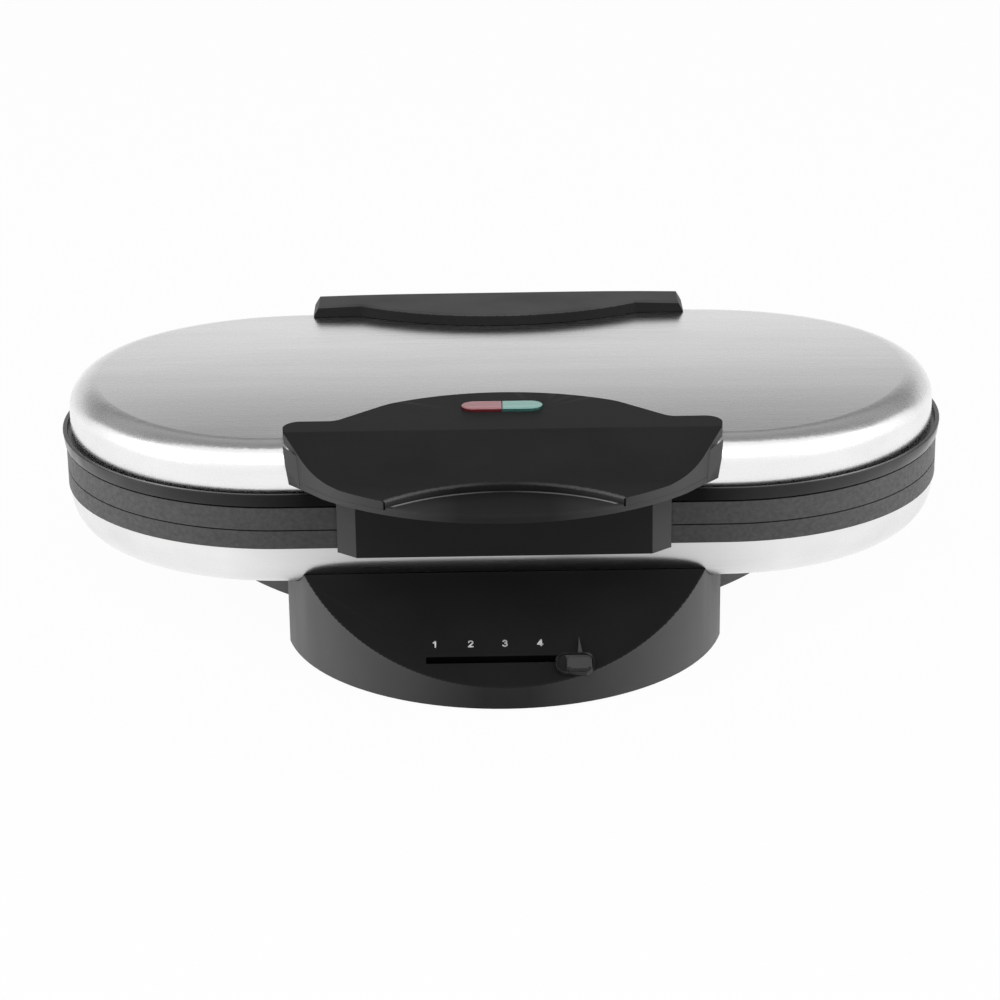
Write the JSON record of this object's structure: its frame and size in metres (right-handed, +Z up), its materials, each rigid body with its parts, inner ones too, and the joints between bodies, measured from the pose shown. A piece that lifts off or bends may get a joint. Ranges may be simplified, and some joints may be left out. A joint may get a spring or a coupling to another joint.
{
  "type": "double waffle iron",
  "caption": "Double waffle iron: oval body with heart-shaped moulds side by side, hinged brushed steel lid, front handle with lamps, and a temperature slider.",
  "frame": {"origin": "on the surface it stands on, under the middle of its outline", "axes": "+X to the right along its long side, +Y to the hinge at the back, +Z up"},
  "size_m": [0.43, 0.306, 0.1162],
  "materials": {
    "brushed_steel": "fine brushed stainless steel",
    "cast_plate": "cast, with a matt grey-black non-stick coat",
    "black_plastic": "black heat-proof plastic, satin",
    "knob_plastic": "black plastic, satin",
    "frame_plastic": "black heat-proof plastic, glossy",
    "cover_plastic": "black plastic, matt",
    "rubber": "black rubber",
    "inner_plastic": "pale heat-proof plastic",
    "thermostat_metal": "plated steel and ceramic",
    "element_steel": "heat-darkened steel tube",
    "shield_metal": "thin bright sheet",
    "fuse_metal": "small metal can",
    "bracket_steel": "zinc-plated steel",
    "screw_steel": "zinc-plated steel",
    "red_lens": "clear red plastic",
    "green_lens": "clear green plastic",
    "lamp_glass": "small glass lamp"
  },
  "bodies": {
    "base": {"lower_shell": "brushed_steel", "lower_plate": "cast_plate", "lower_heater": "element_steel", "lower_heat_shield": "shield_metal", "lower_thermal_fuse": "fuse_metal", "base_housing": "black_plastic", "bottom_cover": "cover_plastic", "rubber_feet": "rubber", "rear_housing": "black_plastic", "hinge_pins": "bracket_steel", "cord_gland": "rubber", "cord_clamp": "inner_plastic", "terminal_block": "inner_plastic", "thermostat": "thermostat_metal", "long_screws": "screw_steel", "cover_screws": "screw_steel", "rear_screws": "screw_steel", "thermostat_screws": "screw_steel"},
    "lid": {"lid_cover": "brushed_steel", "lid_frame": "frame_plastic", "upper_plate": "cast_plate", "upper_heater": "element_steel", "upper_heat_shield": "shield_metal", "upper_thermal_fuse": "fuse_metal", "handle_top": "black_plastic", "handle_base": "black_plastic", "handle_bracket": "bracket_steel", "handle_screws": "screw_steel", "grip_screws": "screw_steel", "red_lens": "red_lens", "green_lens": "green_lens", "lamp_holder": "inner_plastic", "neon_lamps": "lamp_glass", "hinge_cover": "black_plastic", "hinge_bracket": "bracket_steel", "hinge_screws": "screw_steel", "bracket_screws": "screw_steel", "frame_screws": "screw_steel", "shield_screws": "screw_steel"},
    "selector": {"slider_knob": "knob_plastic", "knob_clip": "inner_plastic"},
    "lever": {"selector_lever": "inner_plastic"}
  },
  "joints": [
    {"name": "lid_hinge", "type": "hinge", "parent": "base", "child": "lid", "pos_m": [0, 0.138, 0.074], "axis": [-1, 0, 0], "range_deg": [0, 100]},
    {"name": "selector_slide", "type": "slide", "parent": "base", "child": "selector", "axis": [-1, 0, 0], "range_m": [0, 0.064]},
    {"name": "lever_turn", "type": "hinge", "parent": "base", "child": "lever", "pos_m": [-0.001, -0.072, 0.0072], "axis": [0, 0, -1], "range_deg": [0, 51]}
  ],
  "couplings": [
    {"joint": "lever_turn", "follows": "selector_slide", "rad_per_m": 13.87}
  ]
}
